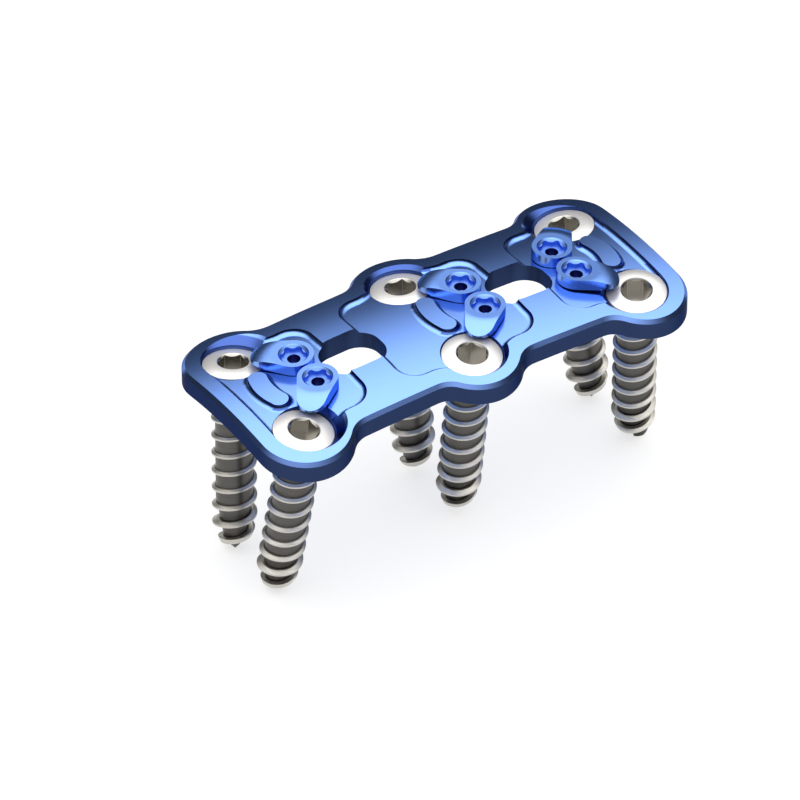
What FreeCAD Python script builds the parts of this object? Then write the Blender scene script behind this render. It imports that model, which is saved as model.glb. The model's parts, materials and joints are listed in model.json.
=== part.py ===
import FreeCAD, Part
import math
import os
import Sketcher

V = FreeCAD.Vector

# Driving dimensions, in millimetres and degrees
DIMENSIONS = {
    # Plate: a slab bent both ways, trimmed to a waisted outline
    "long_bend": 255.0,
    "cross_bend": 46.0,
    "plate_thickness": 2.1,
    "row_pitch": 17.5,
    "bore_spacing": 11.24,
    "lobe_radius": 4.5,
    "waist_half_width": 7.92,
    "waist_fillet": 2.3,
    "top_chamfer": 0.3,
    "bottom_chamfer": 0.25,
    # Graft windows between the rows
    "window_half_length": 2.95,
    "window_half_width": 2.35,
    "window_corner": 2.0,
    # Lock pockets
    "pocket_depth": 0.45,
    "pocket_half_width": 6.15,
    "pocket_reach": 7.15,
    "pocket_back": 2.85,
    "pocket_corner": 2.1,
    "pocket_bore_radius": 2.75,
    "pocket_blend": 3.0,
    "pocket_floor_fillet": 0.5,
    # Stop islands left standing in the pockets
    "island_back": 1.15,
    "island_front": 0.55,
    "island_back_radius": 5.3,
    "island_front_radius": 4.6,
    "island_span": 20.0,
    # Screw seats
    "seat_mouth_radius": 2.84,
    "seat_lead": 0.3,
    "seat_gap": 0.06,
    "head_depth": 0.53,
    "throat_gap": 0.4,
    # Bone screws, measured from the plane of the head's rim
    "screw_length": 18.8,
    "splay_angle": 5.07,
    "converge_angle": 7.35,
    "head_radius": 2.7,
    "head_edge_height": 0.17,
    "head_crown": 0.12,
    "dome_radius": 3.5,
    "hex_across_flats": 2.45,
    "hex_depth": 1.5,
    "hex_chamfer_radius": 1.46,
    "hex_lead": 0.3,
    "neck_radius": 1.75,
    "neck_end": 2.35,
    "core_top_radius": 1.65,
    "core_low_radius": 1.0,
    "core_low_height": 1.4,
    "core_taper_height": 5.4,
    "thread_radius": 2.0,
    "thread_pitch": 1.75,
    "thread_start": 2.5,
    "thread_root": 0.56,
    "thread_crest": 0.16,
    "thread_foot_radius": 0.44,
    "thread_root_radius": 1.6,
    "thread_fade": 1.0,
    "thread_low_height": 0.1,
    "thread_full_height": 2.9,
    "runout_radius": 1.3,
    "runout_height": 0.85,
    "tip_point": 0.5,
    "tip_radius": 0.45,
    "tip_step": 0.05,
    # Locking cams, measured from the rim surface over the pocket
    "cam_reach": 3.9,
    "cam_spacing": 3.82,
    "cam_radius": 1.8,
    "cam_flat_radius": 2.0,
    "cam_height": 0.6,
    "cam_floor_gap": 0.05,
    "lobe_offset": 2.55,
    "lobe_nose": 1.3,
    "lobe_drop": 0.74,
    "relief_radius": 2.8,
    "relief_height": 0.12,
    "locked_angle": 135.0,
    "socket_chamfer_radius": 1.365,
    "socket_lead": 0.25,
    "socket_radius": 1.22,
    "socket_lobe": 0.36,
    "socket_root": 0.98,
    "socket_turn": 15.0,
    "socket_depth": 0.6,
    "cam_bore_radius": 0.6,
    "shank_radius": 1.05,
    "shank_gap": 0.05,
    "flare_radius": 1.45,
    "flare_depth": 0.45,
    "flare_recess": 0.03,
}

ROWS = {"cranial": -1, "middle": 0, "caudal": 1}
SIDES = {"left": 1, "right": -1}
# How far each driven screw has turned, in degrees
SCREW_TURN = {
    "cranial_left": 0.0, "cranial_right": 8.0, "middle_left": 80.0,
    "middle_right": 27.0, "caudal_left": 26.0, "caudal_right": 240.0,
}

document = FreeCAD.newDocument("bone_plate")
sheet = document.addObject("Spreadsheet::Sheet", "sizes")


class Size:
    """A number together with the sheet expression that gives it."""

    def __init__(self, value, text):
        self.value = value
        self.text = text

    def __add__(self, other):
        other = size(other)
        return Size(self.value + other.value, f"({self.text} + {other.text})")

    def __sub__(self, other):
        other = size(other)
        return Size(self.value - other.value, f"({self.text} - {other.text})")

    def __mul__(self, other):
        other = size(other)
        return Size(self.value * other.value, f"({self.text} * {other.text})")

    def __truediv__(self, other):
        other = size(other)
        return Size(self.value / other.value, f"({self.text} / {other.text})")

    def __neg__(self):
        return Size(-self.value, f"(0 - {self.text})")


def size(number):
    """Wrap a plain number, or pass a Size through."""
    return number if isinstance(number, Size) else Size(number, f"({number:.9f})")


def root(area):
    return Size(math.sqrt(area.value), f"sqrt({area.text})")


def other_leg(hypotenuse, leg):
    """The second short side of a right triangle."""
    return root(hypotenuse * hypotenuse - leg * leg)


def tangent(degrees):
    return math.tan(math.radians(degrees.value))


class Dimensions:
    """The sheet's cells, read as named sizes."""

    def __init__(self, values):
        for line, (name, value) in enumerate(values.items(), start=1):
            sheet.set(f"A{line}", name)
            sheet.set(f"B{line}", str(value))
            sheet.setAlias(f"B{line}", name)
            setattr(self, name, Size(value, f"sizes.{name}"))
        document.recompute()


d = Dimensions(DIMENSIONS)
MARGIN = size(1.0)
LEFT, RIGHT = 1, -1


class Arc:
    """The way between two corners when it isn't straight; wide arcs turn through over half a circle."""

    def __init__(self, radius, turn, wide=False):
        self.radius = radius
        self.turn = turn
        self.wide = wide

    def curve(self, start, stop):
        chord = stop - start
        side = V(-chord.y, chord.x, 0).normalize() * self.turn
        reach = math.sqrt(max(self.radius.value ** 2 - chord.Length ** 2 / 4, 0.0))
        middle = (start + stop) / 2 + side * (-reach if self.wide else reach)
        first, last = (start, stop) if self.turn == LEFT else (stop, start)
        from_angle = math.atan2(first.y - middle.y, first.x - middle.x)
        to_angle = math.atan2(last.y - middle.y, last.x - middle.x)
        if to_angle <= from_angle:
            to_angle += 2 * math.pi
        circle = Part.Circle(middle, V(0, 0, 1), self.radius.value)
        return Part.ArcOfCircle(circle, from_angle, to_angle)


class Outline:
    """A sketch on one of a body's origin planes, whose corners and radii follow the sheet."""

    def __init__(self, body, name, role="XY_Plane"):
        self.sketch = body.newObject("Sketcher::SketchObject", name)
        plane = next(item for item in body.Origin.OriginFeatures if item.Role == role)
        self.sketch.AttachmentSupport = [(plane, "")]
        self.sketch.MapMode = "FlatFace"

    def follow(self, constraint, target):
        """Add a constraint and tie its value to the sheet."""
        index = self.sketch.addConstraint(constraint)
        self.sketch.setExpression(f"Constraints[{index}]", target.text)

    def pin(self, edge, end, corner):
        """Hold one end of an edge at its corner; a coordinate of None lies on the axis."""
        for kind, axis, coordinate in (("DistanceX", -2, corner[0]), ("DistanceY", -1, corner[1])):
            if coordinate is None:
                self.sketch.addConstraint(Sketcher.Constraint("PointOnObject", edge, end, axis))
            else:
                self.follow(Sketcher.Constraint(kind, edge, end, coordinate.value), coordinate)

    def loop(self, corners, arcs=None):
        """Join the corners in turn, by lines or by the numbered arcs."""
        arcs = arcs or {}
        places = [V(*(0.0 if part is None else part.value for part in corner), 0) for corner in corners]
        edges = []
        for number, start in enumerate(places):
            stop = places[(number + 1) % len(places)]
            arc = arcs.get(number)
            shape = arc.curve(start, stop) if arc else Part.LineSegment(start, stop)
            ends = (2, 1) if arc and arc.turn == RIGHT else (1, 2)
            edges.append((self.sketch.addGeometry(shape, False), *ends))
        for number, (edge, first, last) in enumerate(edges):
            following, following_first, _ = edges[(number + 1) % len(edges)]
            self.sketch.addConstraint(
                Sketcher.Constraint("Coincident", edge, last, following, following_first))
            self.pin(edge, first, corners[number])
            if number in arcs:
                radius = arcs[number].radius
                self.follow(Sketcher.Constraint("Radius", edge, radius.value), radius)
        return self

    def mirrored_loop(self, corners, arcs=None, left=None, right=None):
        """Close an upper half, given from right to left, with its mirror image below the X axis."""
        count = len(corners)
        lower = [(x, -y) for x, y in reversed(corners)]
        both = dict(arcs or {})
        both.update({2 * count - 2 - number: arc for number, arc in (arcs or {}).items()})
        both.update({number: arc for number, arc in ((count - 1, left), (2 * count - 1, right)) if arc})
        return self.loop(list(corners) + lower, both)

    def frame(self, half_length, half_width):
        """A rectangle about the origin, outside which nothing stays."""
        return self.mirrored_loop([(half_length, half_width), (-half_length, half_width)])

    def axis(self, start, stop):
        """A construction line to revolve about."""
        line = Part.LineSegment(*(V(point[0].value, point[1].value, 0) for point in (start, stop)))
        edge = self.sketch.addGeometry(line, True)
        self.pin(edge, 1, start)
        self.pin(edge, 2, stop)
        return self


def new_body(name):
    body = document.addObject("PartDesign::Body", name)
    body.Label = name
    return body


def set_values(feature, settings):
    """Set a feature's properties; a Size is bound to the sheet."""
    for name, value in settings.items():
        if isinstance(value, Size):
            feature.setExpression(name, value.text)
        else:
            setattr(feature, name, value)


def add_feature(body, kind, name, outline, **settings):
    """Add a feature made from an outline; one that cuts must take something away."""
    feature = body.newObject(f"PartDesign::{kind}", name)
    feature.Profile = (outline.sketch, [""])
    set_values(feature, settings)
    document.recompute()
    if kind in ("Pocket", "Groove") and feature.Shape.Volume >= feature.BaseFeature.Shape.Volume:
        raise RuntimeError(f"{name} cut nothing")
    return feature


def revolve(body, kind, name, outline):
    """Turn an outline drawn in the XZ plane fully about the Z axis."""
    return add_feature(body, kind, name, outline, ReferenceAxis=(outline.sketch, ["V_Axis"]))


def cut_through(body, name, outline):
    return add_feature(body, "Pocket", name, outline, Type="ThroughAll", SideType="Symmetric")


def dress(body, kind, name, edges, **settings):
    """Fillet or chamfer edges of the body's last feature."""
    base = body.Tip
    feature = body.newObject(f"PartDesign::{kind}", name)
    feature.Base = (base, edges)
    set_values(feature, settings)
    document.recompute()
    return feature


def face_edges(body, pick):
    """Names of the edges round the bent face that lies highest (max) or lowest (min)."""
    shape = body.Tip.Shape
    bent = [face for face in shape.Faces if isinstance(face.Surface, Part.Toroid)]
    face = pick(bent, key=lambda face: face.CenterOfMass.z)
    hashes = [edge.hashCode() for edge in face.Edges]
    return [f"Edge{number}" for number, edge in enumerate(shape.Edges, start=1) if edge.hashCode() in hashes]


def repeat(master, name, placement):
    """A body that repeats another one in its own place."""
    body = new_body(name)
    feature = body.newObject("PartDesign::FeatureBase", f"{name}_base")
    feature.BaseFeature = master
    body.Tip = feature
    body.Placement = placement
    return body


def subtract(body, name, tools):
    feature = body.newObject("PartDesign::Boolean", name)
    feature.Type = "Cut"
    feature.Group = tools
    document.recompute()
    return feature


# The plate's rim is part of a torus, with its crown at the origin
bore_y = d.bore_spacing / 2
end_x = d.row_pitch + d.lobe_radius
seat_radius = d.head_radius + d.seat_gap
lobe_length = d.lobe_offset + d.lobe_nose
cam_underside = d.cam_floor_gap - d.pocket_depth


def rim_drop(x, y):
    """How far the rim lies below its crown at a point of the plan."""
    cross_drop = d.cross_bend.value - math.sqrt(d.cross_bend.value ** 2 - y ** 2)
    return d.long_bend.value - math.sqrt((d.long_bend.value - cross_drop) ** 2 - x ** 2)


def screw_placement(row, side, turn=0.0):
    """The plane of a seated head's rim, with the screw's axis along Z."""
    x = ROWS[row] * d.row_pitch.value
    y = SIDES[side] * bore_y.value
    upward = V(-ROWS[row] * tangent(d.splay_angle), SIDES[side] * tangent(d.converge_angle), 1)
    rotation = FreeCAD.Rotation(V(0, 0, 1), upward) * FreeCAD.Rotation(V(0, 0, 1), turn)
    return FreeCAD.Placement(V(x, y, -rim_drop(x, y) - d.head_depth.value), rotation)


def window_side(row):
    """Which way along X a row's cams stand from its bores."""
    return -1 if row == "caudal" else 1


def cam_placement(row, side):
    """The rim surface at a cam's axis, square to the long bend, with its locked lobe along X."""
    x = ROWS[row] * d.row_pitch.value + window_side(row) * d.cam_reach.value
    y = SIDES[side] * d.cam_spacing.value / 2
    tilt = FreeCAD.Rotation(V(0, 1, 0), math.degrees(math.asin(x / d.long_bend.value)))
    lobe_angle = d.locked_angle.value if window_side(row) > 0 else 180.0 - d.locked_angle.value
    lobe = FreeCAD.Rotation(V(0, 0, 1), SIDES[side] * lobe_angle)
    return FreeCAD.Placement(V(x, y, -rim_drop(x, 0.0)), tilt * lobe)


def bent_slab(body, name, top, bottom, half_width, half_length):
    """A slab between two depths under the rim, bent as the plate is."""
    section = Outline(body, f"{name}_section", "YZ_Plane")
    section.axis((-MARGIN, -d.long_bend), (MARGIN, -d.long_bend))
    corners = []
    for depth, sides in ((top, (half_width, -half_width)), (bottom, (-half_width, half_width))):
        height = other_leg(d.cross_bend - depth, half_width) - d.cross_bend
        corners += [(side, height) for side in sides]
    section.loop(corners, {0: Arc(d.cross_bend - top, LEFT), 2: Arc(d.cross_bend - bottom, RIGHT)})
    ratio = half_length / d.long_bend
    angle = Size(2 * math.degrees(math.asin(ratio.value)), f"2 * asin({ratio.text})")
    return add_feature(
        body, "Revolution", name, section,
        ReferenceAxis=(section.sketch, ["Axis0"]), Midplane=True, Angle=angle)


def shoulder(lobe_radius, fillet, level):
    """Where a straight side leaves a lobe: the fillet's foot, and its touching point on the lobe."""
    rise = level + fillet - bore_y
    foot = other_leg(lobe_radius + fillet, rise)
    share = lobe_radius / (lobe_radius + fillet)
    return foot, (foot * share, bore_y + rise * share)


def draw_plate_outline(outline):
    """Three pairs of lobes about the bores, joined by waists."""
    foot, (touch_x, touch_y) = shoulder(d.lobe_radius, d.waist_fillet, d.waist_half_width)
    middle_x = size(0.0)
    corners = [(end_x, bore_y)]
    for right_x, left_x in ((d.row_pitch, middle_x), (middle_x, -d.row_pitch)):
        corners += [
            (right_x - touch_x, touch_y), (right_x - foot, d.waist_half_width),
            (left_x + foot, d.waist_half_width), (left_x + touch_x, touch_y),
        ]
    corners.append((-end_x, bore_y))
    lobe = Arc(d.lobe_radius, LEFT)
    fillet = Arc(d.waist_fillet, RIGHT)
    outline.mirrored_loop(corners, {0: lobe, 1: fillet, 3: fillet, 4: lobe, 5: fillet, 7: fillet, 8: lobe})


def draw_pocket_outline(outline, row_x, both_ways):
    """A pocket that joins a row's bores: towards the window it swells to clear the opened cams."""
    foot, (touch_x, touch_y) = shoulder(d.pocket_bore_radius, d.pocket_blend, d.pocket_half_width)
    level = d.pocket_half_width
    square_x = d.pocket_reach - d.pocket_corner
    blend = Arc(d.pocket_blend, RIGHT)
    corner = Arc(d.pocket_corner, LEFT)
    round_bore = Arc(d.pocket_bore_radius, LEFT)
    corners = [
        (d.pocket_reach, level - d.pocket_corner), (square_x, level), (foot, level), (touch_x, touch_y),
    ]
    arcs = {0: corner, 2: blend, 3: round_bore}
    if both_ways:
        corners += [(-x, y) for x, y in reversed(corners)]
        arcs.update({4: blend, 6: corner})
    else:
        corners += [(size(0.0), bore_y + d.pocket_bore_radius), (-d.pocket_back, bore_y)]
    outline.mirrored_loop([(row_x + x, y) for x, y in corners], arcs)


def draw_island_outline(outline, row_x):
    """A crescent between a row's bores, with round ends, which stops a cam turned past its lock."""
    sine = Size(math.sin(math.radians(d.island_span.value)), f"sin({d.island_span.text})")
    cosine = Size(math.cos(math.radians(d.island_span.value)), f"cos({d.island_span.text})")
    front = d.island_front_radius
    back = d.island_back_radius
    front_end = (row_x + d.island_front + front - front * cosine, front * sine)
    back_end = (row_x - d.island_back + back - back * cosine, back * sine)
    across = (front_end[0] - back_end[0]) / 2
    rise = (front_end[1] - back_end[1]) / 2
    nose = root(across * across + rise * rise)
    tip = (back_end[0] + across - rise, back_end[1] + rise + across)
    outline.mirrored_loop(
        [front_end, tip, back_end], {0: Arc(nose, LEFT), 1: Arc(nose, LEFT)},
        left=Arc(back, LEFT), right=Arc(front, RIGHT))


def draw_teardrop(outline, body_radius, nose_radius):
    """A cam's outline: a disc and a smaller nose, joined by their common tangents."""
    lean = (body_radius - nose_radius) / d.lobe_offset
    rise = other_leg(size(1.0), lean)
    corners = [
        (d.lobe_offset + nose_radius * lean, nose_radius * rise),
        (body_radius * lean, body_radius * rise),
    ]
    outline.mirrored_loop(corners, left=Arc(body_radius, LEFT, wide=True), right=Arc(nose_radius, LEFT))


def draw_hexalobe(outline):
    """Six round lobes, each joined to the next by a round valley that touches both."""
    lobe_x = d.socket_radius - d.socket_lobe
    half_step = math.cos(math.pi / 6)
    squares = d.socket_lobe * d.socket_lobe - d.socket_root * d.socket_root - lobe_x * lobe_x
    valley = (squares + d.socket_root * lobe_x * 2 * half_step) / (
        (d.socket_root - lobe_x * half_step - d.socket_lobe) * 2)
    share = d.socket_lobe / (d.socket_lobe + valley)
    valley_x = d.socket_root + valley
    corners = []
    arcs = {}
    for number in range(6):
        middle = number * math.pi / 3
        for turn in (-1, 1):
            between = middle + turn * math.pi / 6
            corners.append(tuple(
                lobe_x * part(middle) * (size(1.0) - share) + valley_x * part(between) * share
                for part in (math.cos, math.sin)))
        arcs[2 * number] = Arc(d.socket_lobe, LEFT)
        arcs[2 * number + 1] = Arc(valley, RIGHT)
    outline.loop(corners, arcs)


def build_pocket(name, row_x, both_ways):
    """The space of a lock pocket: over its floor, round its island, with a rounded foot to its walls."""
    body = new_body(name)
    half_length = end_x + MARGIN
    half_width = bore_y + d.lobe_radius
    bent_slab(body, f"{name}_space", -MARGIN, d.pocket_depth, half_width, half_length)
    trim = Outline(body, f"{name}_outline")
    trim.frame(half_length + MARGIN, half_length)
    draw_pocket_outline(trim, row_x, both_ways)
    cut_through(body, f"{name}_trim", trim)
    island = Outline(body, f"{name}_island_outline")
    draw_island_outline(island, row_x)
    cut_through(body, f"{name}_island", island)
    dress(body, "Fillet", f"{name}_foot", face_edges(body, min), Radius=d.pocket_floor_fillet)
    return body


def build_seat():
    """The space of a screw's bore: a coned mouth over a ball seat, with a throat for the neck."""
    body = new_body("seat_space")
    throat_radius = d.neck_radius + d.throat_gap
    rim_radius = d.seat_mouth_radius + d.seat_lead
    rim_height = d.head_depth - rim_radius * rim_radius / (d.cross_bend * 2)
    throat_height = -d.head_edge_height - other_leg(seat_radius, throat_radius)
    outline = Outline(body, "seat_outline", "XZ_Plane")
    outline.loop([
        (None, -d.plate_thickness - MARGIN), (throat_radius, -d.plate_thickness - MARGIN),
        (throat_radius, throat_height), (seat_radius, -d.head_edge_height),
        (d.seat_mouth_radius, rim_height - d.seat_lead), (rim_radius + MARGIN, rim_height + MARGIN),
        (None, rim_height + MARGIN),
    ], {2: Arc(seat_radius, LEFT)})
    revolve(body, "Revolution", "seat", outline)
    return body


def build_cam_space():
    """The hole that holds a cam's shank, countersunk for the flare."""
    body = new_body("cam_space")
    hole_radius = d.shank_radius + d.shank_gap
    mouth_radius = d.flare_radius + d.shank_gap
    outline = Outline(body, "hole_outline", "XZ_Plane")
    outline.loop([
        (None, -d.plate_thickness - MARGIN), (mouth_radius, -d.plate_thickness - MARGIN),
        (mouth_radius, -d.plate_thickness), (hole_radius, d.flare_depth - d.plate_thickness),
        (hole_radius, MARGIN), (None, MARGIN),
    ])
    revolve(body, "Revolution", "hole", outline)
    return body


def build_plate():
    """Slab, outline and broken edges first, then windows, pockets, screw seats and cam holes."""
    plate = new_body("plate")
    half_length = end_x + MARGIN
    half_width = bore_y + d.lobe_radius + MARGIN
    bent_slab(plate, "slab", size(0.0), d.plate_thickness, half_width, half_length)
    trim = Outline(plate, "plate_outline")
    trim.frame(half_length + MARGIN, half_width + MARGIN)
    draw_plate_outline(trim)
    cut_through(plate, "outline_trim", trim)
    dress(plate, "Chamfer", "top_edge", face_edges(plate, max), Size=d.top_chamfer)
    dress(plate, "Chamfer", "bottom_edge", face_edges(plate, min), Size=d.bottom_chamfer)
    windows = Outline(plate, "window_outlines")
    for centre in (-d.row_pitch / 2, d.row_pitch / 2):
        inner_x = d.window_half_length - d.window_corner
        inner_y = d.window_half_width - d.window_corner
        corner = Arc(d.window_corner, LEFT)
        windows.mirrored_loop([
            (centre + d.window_half_length, inner_y), (centre + inner_x, d.window_half_width),
            (centre - inner_x, d.window_half_width), (centre - d.window_half_length, inner_y),
        ], {0: corner, 2: corner})
    cut_through(plate, "windows", windows)
    cranial = build_pocket("cranial_pocket", -d.row_pitch, both_ways=False)
    middle = build_pocket("middle_pocket", size(0.0), both_ways=True)
    half_turn = FreeCAD.Placement(V(0, 0, 0), FreeCAD.Rotation(V(0, 0, 1), 180))
    tools = [cranial, middle, repeat(cranial, "caudal_pocket", half_turn)]
    seat = build_seat()
    cam_space = build_cam_space()
    for row in ROWS:
        for side in SIDES:
            tools.append(repeat(seat, f"seat_space_{row}_{side}", screw_placement(row, side)))
            tools.append(repeat(cam_space, f"cam_space_{row}_{side}", cam_placement(row, side)))
    subtract(plate, "openings", tools)
    return plate


def build_screw():
    """A ball-seated head with a hex socket, over a tapered core with a coarse helical thread."""
    body = new_body("screw_pattern")
    length = d.screw_length
    neck_top = -d.head_edge_height - other_leg(d.head_radius, d.neck_radius)
    blank = Outline(body, "screw_outline", "XZ_Plane")
    blank.loop([
        (None, -length), (d.tip_radius, d.tip_point - length),
        (d.core_low_radius, d.core_low_height - length),
        (d.core_top_radius, d.core_taper_height - length), (d.core_top_radius, -d.thread_start),
        (d.neck_radius, -d.neck_end), (d.neck_radius, neck_top), (d.head_radius, -d.head_edge_height),
        (d.hex_chamfer_radius, d.head_crown), (None, d.head_crown),
    ], {6: Arc(d.head_radius, LEFT), 7: Arc(d.dome_radius, LEFT)})
    revolve(body, "Revolution", "screw_blank", blank)
    ridge = Outline(body, "thread_outline", "XZ_Plane")
    middle = d.thread_low_height + d.thread_root / 2 - length
    sides = [
        (d.thread_foot_radius, d.thread_root / 2), (d.thread_root_radius, d.thread_root / 2),
        (d.thread_radius, d.thread_crest / 2),
    ]
    ridge.loop(
        [(radius, middle - half) for radius, half in sides]
        + [(radius, middle + half) for radius, half in reversed(sides)])
    add_feature(
        body, "AdditiveHelix", "thread", ridge, ReferenceAxis=(ridge.sketch, ["V_Axis"]),
        Mode="pitch-height-angle", Pitch=d.thread_pitch, Height=-d.thread_start - middle)
    outside = d.thread_radius + MARGIN
    runout = Outline(body, "runout_outline", "XZ_Plane")
    runout.loop([
        (d.tip_step, -length), (outside, -length), (outside, d.thread_full_height - length),
        (d.thread_radius + d.tip_step, d.thread_full_height - length),
        (d.runout_radius, d.runout_height - length),
        (d.tip_radius + d.tip_step, d.tip_point - length),
    ])
    revolve(body, "Groove", "thread_runout", runout)
    fade = Outline(body, "fade_outline", "XZ_Plane")
    fade.loop([
        (d.neck_radius, -d.neck_end), (outside, -d.neck_end - d.thread_fade), (outside, -d.neck_end),
    ])
    revolve(body, "Groove", "thread_fade", fade)
    cut_hex_socket(body)
    return body


def cut_hex_socket(body):
    """A hexagon with a conical lead-in at its mouth."""
    lead = Outline(body, "lead_outline", "XZ_Plane")
    lead.loop([
        (None, d.head_crown - d.hex_lead), (d.hex_chamfer_radius - d.hex_lead, d.head_crown - d.hex_lead),
        (d.hex_chamfer_radius + d.hex_lead, d.head_crown + d.hex_lead), (None, d.head_crown + d.hex_lead),
    ])
    revolve(body, "Groove", "hex_lead_in", lead)
    hexagon = Outline(body, "hex_outline")
    corner_radius = d.hex_across_flats / (2 * math.cos(math.pi / 6))
    corners = []
    for number in range(6):
        angle = math.pi / 6 + number * math.pi / 3
        x = None if number in (1, 4) else corner_radius * math.cos(angle)
        corners.append((x, corner_radius * math.sin(angle)))
    hexagon.loop(corners)
    hexagon.sketch.setExpression("AttachmentOffset.Base.z", d.head_crown.text)
    add_feature(body, "Pocket", "hex_socket", hexagon, Length=d.hex_depth)


def build_cam(name, hand):
    """A teardrop whose nose falls and clears the screw, over a hollow shank flared under the plate."""
    body = new_body(name)
    blank_radius = lobe_length + d.cam_floor_gap
    run = blank_radius - d.cam_flat_radius
    crown_arc = (run * run + d.lobe_drop * d.lobe_drop) / (d.lobe_drop * 2)
    blank = Outline(body, "cam_outline", "XZ_Plane")
    relief = cam_underside + d.relief_height
    blank.loop([
        (None, cam_underside), (d.relief_radius, cam_underside), (d.relief_radius, relief),
        (blank_radius, relief), (blank_radius, d.cam_height - d.lobe_drop),
        (d.cam_flat_radius, d.cam_height), (None, d.cam_height),
    ], {4: Arc(crown_arc, LEFT)})
    revolve(body, "Revolution", "cam_blank", blank)
    trim = Outline(body, "teardrop_outline")
    trim.frame(blank_radius + MARGIN, blank_radius + MARGIN)
    draw_teardrop(trim, d.cam_radius, d.lobe_nose)
    cut_through(body, "teardrop_trim", trim)
    shank = Outline(body, "shank_outline", "XZ_Plane")
    flare_top = d.flare_depth - d.plate_thickness - d.shank_gap
    shank_end = d.flare_recess - d.plate_thickness
    flare_share = (flare_top - shank_end) / d.flare_depth
    flare_end = d.shank_radius + (d.flare_radius - d.shank_radius) * flare_share
    shank.loop([
        (None, shank_end), (flare_end, shank_end), (d.shank_radius, flare_top),
        (d.shank_radius, cam_underside), (None, cam_underside),
    ])
    revolve(body, "Revolution", "shank", shank)
    cut_cam_socket(body, hand)
    return body


def cut_cam_socket(body, hand):
    """A hexalobe with a conical lead-in over the bore, turned so that all six stand alike in the plate."""
    lead = Outline(body, "socket_lead_outline", "XZ_Plane")
    lead.loop([
        (None, d.cam_height - d.socket_lead),
        (d.socket_chamfer_radius - d.socket_lead, d.cam_height - d.socket_lead),
        (d.socket_chamfer_radius + d.socket_lead, d.cam_height + d.socket_lead),
        (None, d.cam_height + d.socket_lead),
    ])
    revolve(body, "Groove", "socket_lead_in", lead)
    hexalobe = Outline(body, "hexalobe_outline")
    draw_hexalobe(hexalobe)
    hexalobe.sketch.setExpression("AttachmentOffset.Base.z", d.cam_height.text)
    hexalobe.sketch.setExpression("AttachmentOffset.Rotation.Angle", (d.socket_turn * hand).text)
    add_feature(body, "Pocket", "hexalobe_socket", hexalobe, Length=d.socket_depth)
    bore = Outline(body, "bore_outline", "XZ_Plane")
    bore.loop([
        (None, -d.plate_thickness - MARGIN), (d.cam_bore_radius, -d.plate_thickness - MARGIN),
        (d.cam_bore_radius, d.cam_height), (None, d.cam_height),
    ])
    revolve(body, "Groove", "cam_bore", bore)


def lifted(placement, height):
    """The same placement in the frame of the surface that the screw tips stand on."""
    return FreeCAD.Placement(placement.Base + V(0, 0, height), placement.Rotation)


def main():
    """Build every piece and write one file for each."""
    plate = build_plate()
    screw = build_screw()
    cams = {hand: build_cam(name, hand) for hand, name in ((1, "left_hand_cam"), (-1, "right_hand_cam"))}
    end_screw = screw_placement("cranial", "left")
    tip = end_screw.multVec(V(0, 0, -d.screw_length.value))
    plate.Placement = FreeCAD.Placement(V(0, 0, -tip.z), FreeCAD.Rotation())
    pieces = [plate]
    for row in ROWS:
        for side in SIDES:
            name = f"{row}_{side}"
            seated = lifted(screw_placement(row, side, SCREW_TURN[name]), -tip.z)
            pieces.append(repeat(screw, f"bone_screw_{name}", seated))
            locked = lifted(cam_placement(row, side), -tip.z)
            hand = SIDES[side] * window_side(row)
            pieces.append(repeat(cams[hand], f"locking_cam_{name}", locked))
    document.recompute()
    for item in document.Objects:
        if "Invalid" in item.State or "Error" in item.State:
            raise RuntimeError(f"{item.Name} failed: {item.State}")
    os.makedirs("parts", exist_ok=True)
    for piece in pieces:
        shape = piece.Shape
        if shape.isNull() or not shape.isValid() or len(shape.Solids) != 1:
            raise RuntimeError(f"{piece.Label} isn't one valid solid")
        shape.exportStep(f"parts/{piece.Label}.step")
        print(piece.Label, round(shape.Volume, 3))


main()
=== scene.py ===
import json
import math

import bpy
from mathutils import Matrix, Vector

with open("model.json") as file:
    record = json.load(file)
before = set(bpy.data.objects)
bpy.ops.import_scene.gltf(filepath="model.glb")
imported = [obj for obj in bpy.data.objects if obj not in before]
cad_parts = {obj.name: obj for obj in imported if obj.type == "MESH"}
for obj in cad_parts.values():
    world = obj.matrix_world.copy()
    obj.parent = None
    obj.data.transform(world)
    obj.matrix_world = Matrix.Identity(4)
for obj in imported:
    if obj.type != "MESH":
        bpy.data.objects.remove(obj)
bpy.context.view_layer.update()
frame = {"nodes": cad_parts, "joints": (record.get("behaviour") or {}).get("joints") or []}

MM = 0.001
ROWS = ("cranial", "middle", "caudal")
SIDES = ("left", "right")
JOINTS = {joint["name"]: joint for joint in frame["joints"]}

# Finishes, as linear colours. The wall, chamfer, bore, cam side, cam socket, screw socket and shank colours
# are painted shade, and the crest colour is a painted highlight
ANODISED = (0.23, 0.42, 1.0)
# Painted shade: the plate's outer and pocket walls nearly black, its top chamfer and bores darker blues than
# its top face
WALL_PAINTED_SHADE = (0.028, 0.047, 0.118)
CHAMFER_PAINTED_SHADE = (0.18, 0.31, 0.72)
BORE_MOUTH_PAINTED_SHADE = (0.07, 0.13, 0.42)
BORE_WALL_PAINTED_SHADE = (0.03, 0.06, 0.22)
PLATE_GRAZING = (0.4, 0.38, 0.45)
CAM_GRAZING = (0.25, 0.38, 0.75)
# Painted shade: the cams' sides, sockets and bores darkened
CAM_SIDE_PAINTED_SHADE = (0.24, 0.4, 0.86)
CAM_SOCKET_PAINTED_SHADE = (0.09, 0.2, 0.68)
CAM_BORE_PAINTED_SHADE = (0.05, 0.06, 0.3)
HEAD_WHITE = (0.88, 0.865, 0.84)
# Painted shade in the screw's socket and between its threads, and a painted highlight on the thread crests
SOCKET_PAINTED_SHADE = (0.5, 0.48, 0.44)
SHANK_PAINTED_SHADE = (0.125, 0.12, 0.112)
CREST_PAINTED_HIGHLIGHT = (0.64, 0.615, 0.56)
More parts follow.
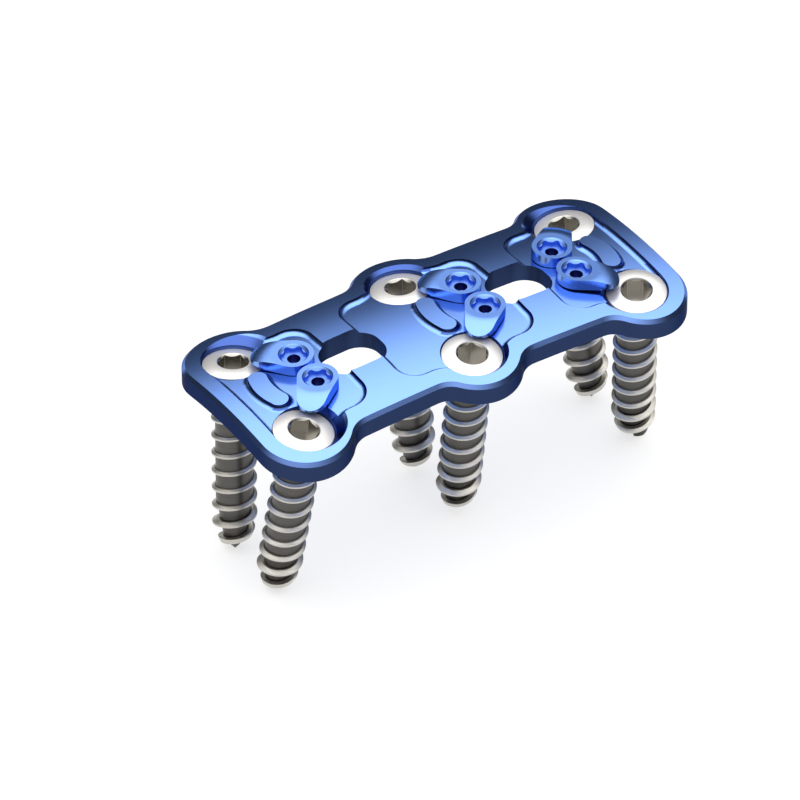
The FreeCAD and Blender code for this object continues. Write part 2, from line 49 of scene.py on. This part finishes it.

# Where the finishes and their painted shade change, in metres: places on the plate, then distances from a
# cam's or screw's axis
ROW_PITCH = 17.5 * MM
BORE_OFFSET = 5.62 * MM
WAIST_EDGE = (7.1 * MM, 7.3 * MM)
END_EDGE = (21.2 * MM, 21.4 * MM)
LOBE_EDGE = (3.5 * MM, 3.8 * MM)
BORE_EDGE = (3.55 * MM, 3.65 * MM)
CAM_BORE_EDGE = (0.6 * MM, 0.64 * MM)
CAM_SOCKET_EDGE = (1.25 * MM, 1.3 * MM)
CAM_BORE_MOUTH = (-0.1 * MM, 0.0)
CORE_RADIUS = 1.65 * MM
CORE_LOW_RADIUS = 1.0 * MM
CORE_TAPER_TOP = -13.4 * MM
CORE_LOW_END = -17.4 * MM
TIP_RADIUS = 0.45 * MM
TIP_TOP = -18.3 * MM
THREAD_EDGE = (0.04 * MM, 0.14 * MM)
HEX_EDGE = (1.38 * MM, 1.44 * MM)
HEAD_FOOT = (-1.9 * MM, -1.7 * MM)

# Where the finishes and their painted shade change with slope, as the upright share of a face's normal
BORE_CONE = (0.3, 0.5)
POCKET_FOOT = (0.4, 0.72)
BORE_RIM = (0.85, 0.93)
CHAMFER_FOOT = (0.35, 0.66)
RIM_FACE = (0.74, 0.9)
WALL_SHINE = (0.2, 0.5)
CAM_WALL_TOP = (0.2, 0.5)

# How rough each finish is, and how far its brightness varies
PLATE_ROUGHNESS = 0.42
WALL_ROUGHNESS = 0.2
CAM_ROUGHNESS = 0.26
CAM_SOCKET_ROUGHNESS = 0.42
SHANK_ROUGHNESS = 0.42
HEAD_ROUGHNESS = 0.32
HEX_ROUGHNESS = 0.2
GRAIN_ROUGHNESS = 0.04
FILM_ROUGHNESS = 0.05
FILM_SHADE = 0.7
FILM_SPREAD = 0.16
FILM_LEVEL = 0.04
WEAR_SHADE = 0.6
WEAR_SPREAD = 0.4
WEAR_LEVEL = 0.12
RING_SPREAD = 2.2

# Surface detail: features per metre, and depths in metres
FILM_SCALE = 90.0
GRAIN_SCALE = 9000.0
GRAIN_DEPTH = 0.0000008
TOOL_MARK_PITCH = 0.09 * MM
TOOL_MARK_DEPTH = 0.000002
TOOL_MARK_SHARE = 0.3
RING_SCALE = 9000.0
MOTTLE_SCALE = 700.0
MOTTLE_ROUGHNESS = 0.1
HEAD_HAZE = 0.42

# Studio: a dim horizon under a broad soft light, over a pale floor
HORIZON_LIGHT = 0.08
SKY_LIGHT = 2.5
LIGHT_FOOT = 0.42
LIGHT_TOP = 0.86
FLOOR_COLOUR = (0.4, 0.4, 0.4)
FLOOR_GLOW = 0.68
FLOOR_SIZE = 3.0

# The photograph's view
CAMERA_AZIMUTH = -33.708
CAMERA_ELEVATION = 38.751
CAMERA_ROLL = -0.103
CAMERA_DISTANCE = 0.684977
FOCAL_PIXELS = 7829.8
PICTURE_PIXELS = 800
SENSOR_WIDTH = 36.0
CLIP_NEAR = 0.01
CLIP_FAR = 10.0
ORIGIN_PIXEL = (435.98, 326.18)
ORIGIN_HEIGHT = 18.57 * MM


# Sockets of a Mix node that mixes colours, which share their names with its other sockets
MIX_FACTOR, MIX_FIRST, MIX_SECOND = 0, 6, 7
MIX_RESULT = 2


class Wire:
    """One output in a material. Sums on wires add the nodes that work them out."""

    def __init__(self, shader, socket):
        self.shader = shader
        self.socket = socket

    def math(self, operation, *others):
        return self.shader.add("ShaderNodeMath", {"operation": operation}, dict(enumerate((self, *others))))

    def __add__(self, other):
        return self.math("ADD", other)

    __radd__ = __add__

    def __mul__(self, other):
        return self.math("MULTIPLY", other)

    __rmul__ = __mul__

    def __sub__(self, other):
        return self.math("SUBTRACT", other)

    def __rsub__(self, other):
        return self.shader.number(other).math("SUBTRACT", self)

    def __abs__(self):
        return self.math("ABSOLUTE")

    def dimmed(self, share):
        """The same colour at a share of its strength."""
        return self.shader.add("ShaderNodeVectorMath", {"operation": "SCALE"}, {0: self, "Scale": share})

    def between(self, low, high):
        """Smoothly from 0 below low to 1 above high."""
        settings = {"interpolation_type": "SMOOTHSTEP"}
        inputs = {"Value": self, "From Min": low, "From Max": high}
        return self.shader.add("ShaderNodeMapRange", settings, inputs)


class Shader:
    """A node tree, emptied, with one way to add any node to it."""

    def __init__(self, owner):
        owner.use_nodes = True
        self.tree = owner.node_tree
        self.tree.nodes.clear()

    def add(self, kind, settings=None, inputs=None, output=0):
        node = self.tree.nodes.new(kind)
        for name, value in (settings or {}).items():
            setattr(node, name, value)
        for name, value in (inputs or {}).items():
            if isinstance(value, Wire):
                self.tree.links.new(value.socket, node.inputs[name])
            else:
                node.inputs[name].default_value = value
        return Wire(self, node.outputs[output]) if node.outputs else node

    def number(self, value):
        return self.add("ShaderNodeMath", {"operation": "ADD"}, {0: value, 1: 0.0})

    def blend(self, share, first, second):
        """A colour between two others."""
        inputs = {MIX_FACTOR: share, MIX_FIRST: rgba(first), MIX_SECOND: rgba(second)}
        return self.add("ShaderNodeMix", {"data_type": "RGBA"}, inputs, MIX_RESULT)

    def vector(self, operation, first, second, output="Vector"):
        return self.add("ShaderNodeVectorMath", {"operation": operation}, {0: first, 1: second}, output)

    def noise(self, place, scale, detail=2.0):
        """Soft mottling about zero."""
        inputs = {"Vector": place, "Scale": scale, "Detail": detail, "Roughness": 0.5}
        return self.add("ShaderNodeTexNoise", {}, inputs, "Fac") - 0.5

    def about(self, place, joint):
        """How far along a joint's axis a place lies, and how far from it."""
        axis = tuple(joint["axis"])
        upward = axis if axis[2] > 0 else tuple(-part for part in axis)
        local = self.vector("SUBTRACT", place, tuple(joint["pos_m"]))
        along = self.vector("DOT_PRODUCT", local, upward, "Value")
        across = self.vector("CROSS_PRODUCT", local, upward)
        return along, self.add("ShaderNodeVectorMath", {"operation": "LENGTH"}, {0: across}, "Value")

    def parts(self, vector):
        """The X, Y and Z of a vector."""
        return [self.add("ShaderNodeSeparateXYZ", {}, {0: vector}, axis) for axis in "XYZ"]


def rgba(colour):
    return colour if isinstance(colour, Wire) else (*colour, 1.0)


def metal(colour, roughness, height, depth, metallic=1.0, grazing=(1.0, 1.0, 1.0)):
    """Finish a shader as metal: colour, roughness, a bump from a height in metres, its edge-on tint."""
    shader = colour.shader
    bump = shader.add("ShaderNodeBump", {}, {"Height": height, "Distance": depth, "Strength": 1.0}, "Normal")
    inputs = {
        "Base Color": colour, "Roughness": roughness, "Metallic": metallic, "Normal": bump,
        "Specular Tint": rgba(grazing)}
    surface = shader.add("ShaderNodeBsdfPrincipled", {}, inputs)
    shader.add("ShaderNodeOutputMaterial", {}, {"Surface": surface})


def new_material(name):
    material = bpy.data.materials.new(name)
    return material, Shader(material)


def anodised_plate(name):
    """Blue anodised titanium with satin faces. Its outer and pocket walls are painted nearly black as shade,
    and its bores and edges are painted mid-blue as shade.
    """
    material, shader = new_material(name)
    place = shader.add("ShaderNodeTexCoord", {}, {}, "Object")
    x, y, _ = (abs(part) for part in shader.parts(place))
    upright = abs(shader.parts(shader.add("ShaderNodeTexCoord", {}, {}, "Normal"))[2])
    from_row = x.math("MINIMUM", abs(x - ROW_PITCH))
    from_bore = (from_row * from_row + (y - BORE_OFFSET) * (y - BORE_OFFSET)).math("SQRT")
    border = y.between(*WAIST_EDGE).math("MAXIMUM", x.between(*END_EDGE)) * from_bore.between(*LOBE_EDGE)
    film = shader.noise(place, FILM_SCALE)
    grain = shader.noise(place, GRAIN_SCALE, 3.0)
    # Painted shade: steep faces in the bores and pockets are darkened by their slope
    bore = shader.blend(upright.between(*BORE_CONE), BORE_WALL_PAINTED_SHADE, BORE_MOUTH_PAINTED_SHADE)
    pocket = shader.blend(upright.between(*POCKET_FOOT), WALL_PAINTED_SHADE, ANODISED)
    steep = (1.0 - from_bore.between(*BORE_EDGE)) * (1.0 - upright.between(*BORE_RIM))
    inner = shader.blend(steep, pocket, bore)
    # Painted shade: the outer walls nearly black and the chamfer a darker blue than the top face
    edge = shader.blend(upright.between(*CHAMFER_FOOT), WALL_PAINTED_SHADE, CHAMFER_PAINTED_SHADE)
    outer = shader.blend(upright.between(*RIM_FACE), edge, ANODISED)
    colour = shader.blend(border, inner, outer)
    tinted = shader.blend(film * FILM_SPREAD + FILM_LEVEL, colour, colour.dimmed(FILM_SHADE))
    roughness = film * FILM_ROUGHNESS + grain * GRAIN_ROUGHNESS + PLATE_ROUGHNESS
    roughness = roughness - upright.between(*WALL_SHINE) * (PLATE_ROUGHNESS - WALL_ROUGHNESS)
    metal(tinted, roughness, grain, GRAIN_DEPTH, grazing=PLATE_GRAZING)
    return material


def anodised_cam(name, joint):
    """The plate's blue, painted deeper on the cam's sides and in its socket as shade, and painted nearly
    black down its bore as shade.
    """
    material, shader = new_material(name)
    place = shader.add("ShaderNodeTexCoord", {}, {}, "Object")
    along, radius = shader.about(place, joint)
    upright = abs(shader.parts(shader.add("ShaderNodeTexCoord", {}, {}, "Normal"))[2])
    grain = shader.noise(place, GRAIN_SCALE, 3.0)
    in_bore = (1.0 - radius.between(*CAM_BORE_EDGE)) * (1.0 - along.between(*CAM_BORE_MOUTH))
    outside = radius.between(*CAM_SOCKET_EDGE)
    # Painted shade: the cam's socket and sides darker than its top
    wall = shader.blend(outside, CAM_SOCKET_PAINTED_SHADE, CAM_SIDE_PAINTED_SHADE)
    colour = shader.blend(upright.between(*CAM_WALL_TOP), wall, ANODISED)
    roughness = grain * GRAIN_ROUGHNESS + CAM_SOCKET_ROUGHNESS
    roughness = roughness - outside * (CAM_SOCKET_ROUGHNESS - CAM_ROUGHNESS)
    # Painted shade: nearly black down the cam's bore
    with_bore_shade = shader.blend(in_bore, colour, CAM_BORE_PAINTED_SHADE)
    metal(with_bore_shade, roughness, grain, GRAIN_DEPTH, grazing=CAM_GRAZING)
    return material


def bone_screw(name, joint):
    """Titanium: a hazy white head with a grey socket painted as shade, over a turned shank painted dark as
    shade between the threads, with a painted highlight on its bright thread.
    """
    material, shader = new_material(name)
    place = shader.add("ShaderNodeTexCoord", {}, {}, "Object")
    along, radius = shader.about(place, joint)
    turning = (along * (2 * math.pi / TOOL_MARK_PITCH)).math("SINE")
    mottle = shader.noise(place, MOTTLE_SCALE, 4.0)
    rings = shader.noise(shader.add("ShaderNodeCombineXYZ", {}, {"X": along}), RING_SCALE, 4.0)
    taper = (along - CORE_LOW_END) * ((CORE_RADIUS - CORE_LOW_RADIUS) / (CORE_TAPER_TOP - CORE_LOW_END))
    point = (along - CORE_LOW_END) * ((CORE_LOW_RADIUS - TIP_RADIUS) / (CORE_LOW_END - TIP_TOP))
    core = (taper.math("MINIMUM", point) + CORE_LOW_RADIUS).math("MINIMUM", CORE_RADIUS)
    # Painted shade between the threads and a painted highlight on their crests
    shank = shader.blend((radius - core).between(*THREAD_EDGE), SHANK_PAINTED_SHADE, CREST_PAINTED_HIGHLIGHT)
    in_socket = 1.0 - radius.between(*HEX_EDGE)
    above = along.between(*HEAD_FOOT)
    # Painted shade in the head's socket
    head = shader.blend(in_socket, HEAD_WHITE, SOCKET_PAINTED_SHADE)
    colour = shader.blend(above, shank, head)
    worn = mottle * WEAR_SPREAD + rings * (1.0 - above) * RING_SPREAD + WEAR_LEVEL
    tinted = shader.blend(worn, colour, colour.dimmed(WEAR_SHADE))
    sunken = above * in_socket
    roughness = mottle * MOTTLE_ROUGHNESS + SHANK_ROUGHNESS - above * (SHANK_ROUGHNESS - HEAD_ROUGHNESS)
    roughness = roughness - sunken * (HEAD_ROUGHNESS - HEX_ROUGHNESS)
    on_dome = above * (1.0 - in_socket)
    marks = turning * TOOL_MARK_SHARE + mottle
    metal(tinted, roughness, marks, TOOL_MARK_DEPTH, metallic=1.0 - on_dome * HEAD_HAZE)
    return material


def dress(node, material):
    """Give a frame node its finish."""
    piece = frame["nodes"][node]
    piece.data.materials.clear()
    piece.data.materials.append(material)


def build_studio():
    """A pale floor that glows a little to the eye and in reflections, under one broad soft sky."""
    bpy.ops.mesh.primitive_plane_add(size=FLOOR_SIZE, location=(0.0, 0.0, 0.0))
    floor = bpy.context.object
    floor.name = "floor"
    material, shader = new_material("pale_floor")
    path = shader.tree.nodes.new("ShaderNodeLightPath")
    seen = [Wire(shader, path.outputs[f"Is {ray} Ray"]) for ray in ("Camera", "Glossy", "Transmission")]
    shown = seen[0].math("MAXIMUM", seen[1]).math("MAXIMUM", seen[2])
    matte = shader.add("ShaderNodeBsdfDiffuse", {}, {"Color": rgba(FLOOR_COLOUR)})
    glow = shader.add("ShaderNodeEmission", {}, {"Strength": shown * FLOOR_GLOW})
    surface = shader.add("ShaderNodeAddShader", {}, {0: matte, 1: glow})
    shader.add("ShaderNodeOutputMaterial", {}, {"Surface": surface})
    floor.data.materials.append(material)

    world = bpy.data.worlds.new("studio")
    bpy.context.scene.world = world
    sky = Shader(world)
    direction = sky.add("ShaderNodeTexCoord", {}, {}, "Generated")
    rise = sky.parts(direction)[2]
    strength = rise.between(LIGHT_FOOT, LIGHT_TOP) * (SKY_LIGHT - HORIZON_LIGHT) + HORIZON_LIGHT
    light = sky.add("ShaderNodeBackground", {}, {"Strength": strength})
    sky.add("ShaderNodeOutputWorld", {}, {"Surface": light})


def place_camera():
    """Look from the photograph's side, with the plate's centre at its pixel there."""
    azimuth = math.radians(CAMERA_AZIMUTH)
    elevation = math.radians(CAMERA_ELEVATION)
    level = math.cos(elevation)
    back = Vector((math.sin(azimuth) * level, -math.cos(azimuth) * level, math.sin(elevation)))
    data = bpy.data.cameras.new("camera")
    camera = bpy.data.objects.new("camera", data)
    bpy.context.scene.collection.objects.link(camera)
    data.sensor_width = SENSOR_WIDTH
    data.lens = FOCAL_PIXELS / PICTURE_PIXELS * data.sensor_width
    data.clip_start = CLIP_NEAR
    data.clip_end = CLIP_FAR
    turn = (-back).to_track_quat("-Z", "Y")
    roll = math.radians(CAMERA_ROLL)
    right = turn @ Vector((math.cos(roll), math.sin(roll), 0.0))
    up = turn @ Vector((-math.sin(roll), math.cos(roll), 0.0))
    per_metre = FOCAL_PIXELS / CAMERA_DISTANCE
    off_right = (ORIGIN_PIXEL[0] - PICTURE_PIXELS / 2) / per_metre
    off_up = (PICTURE_PIXELS / 2 - ORIGIN_PIXEL[1]) / per_metre
    centre = Vector((0.0, 0.0, ORIGIN_HEIGHT))
    camera.location = centre + back * CAMERA_DISTANCE - right * off_right - up * off_up
    camera.rotation_mode = "QUATERNION"
    camera.rotation_quaternion = Matrix((right, up, back)).transposed().to_quaternion()
    bpy.context.scene.camera = camera


bpy.ops.object.select_all(action="DESELECT")
bpy.context.scene.view_settings.view_transform = "Standard"
place_camera()
build_studio()

dress("plate", anodised_plate("blue_plate"))
for row in ROWS:
    for side in SIDES:
        place = f"{row}_{side}"
        dress(f"locking_cam_{place}", anodised_cam(f"blue_cam_{place}", JOINTS[f"cam_turn_{place}"]))
        dress(f"bone_screw_{place}", bone_screw(f"grey_screw_{place}", JOINTS[f"screw_turn_{place}"]))
